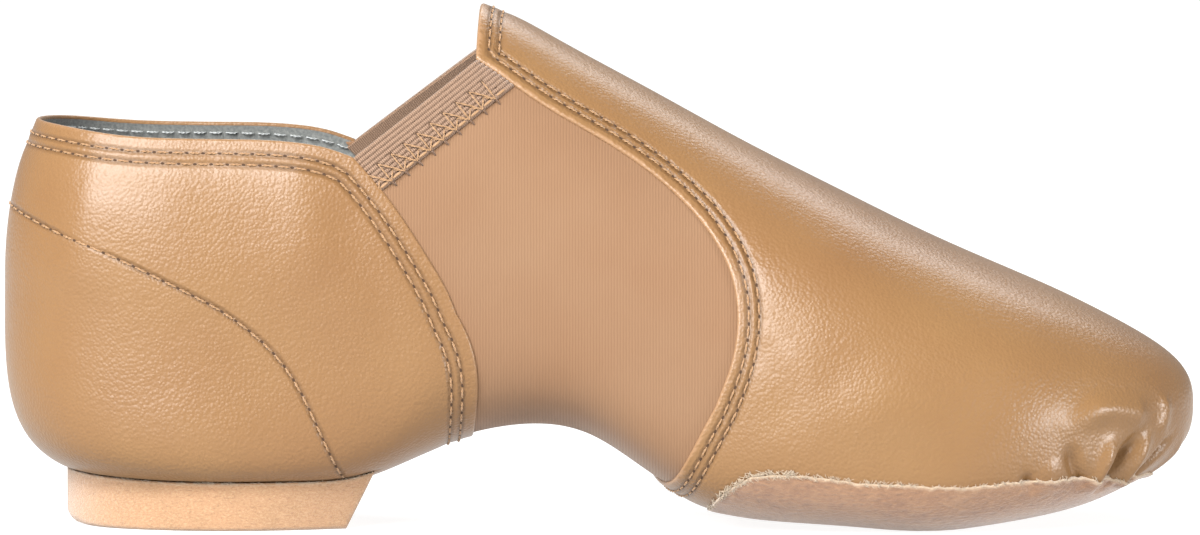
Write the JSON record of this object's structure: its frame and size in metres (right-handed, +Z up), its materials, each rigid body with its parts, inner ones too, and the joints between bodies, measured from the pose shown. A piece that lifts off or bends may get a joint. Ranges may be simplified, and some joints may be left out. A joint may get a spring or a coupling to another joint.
{
  "type": "jazz dance shoe",
  "caption": "Slip-on split-sole jazz shoe for the right foot, with a leather vamp and quarter over a stretch gore, a suede forefoot patch and a low suede heel.",
  "frame": {"origin": "on the floor, under the middle of the shoe's bounding box", "axes": "+X from heel to toe, +Y to the inner side of the foot, +Z up from the floor"},
  "size_m": [0.24, 0.0831, 0.1048],
  "materials": {
    "leather": "caramel grained leather with a satin sheen",
    "suede": "tan split suede, napped and matt",
    "lining": "grey-blue brushed lining cloth",
    "elastic": "tan corded elastic"
  },
  "bodies": {
    "root": {"upper": "leather", "forefoot_sole": "suede", "heel": "suede", "insole": "lining", "elastic_outer": "elastic", "elastic_inner": "elastic"}
  },
  "joints": []
}
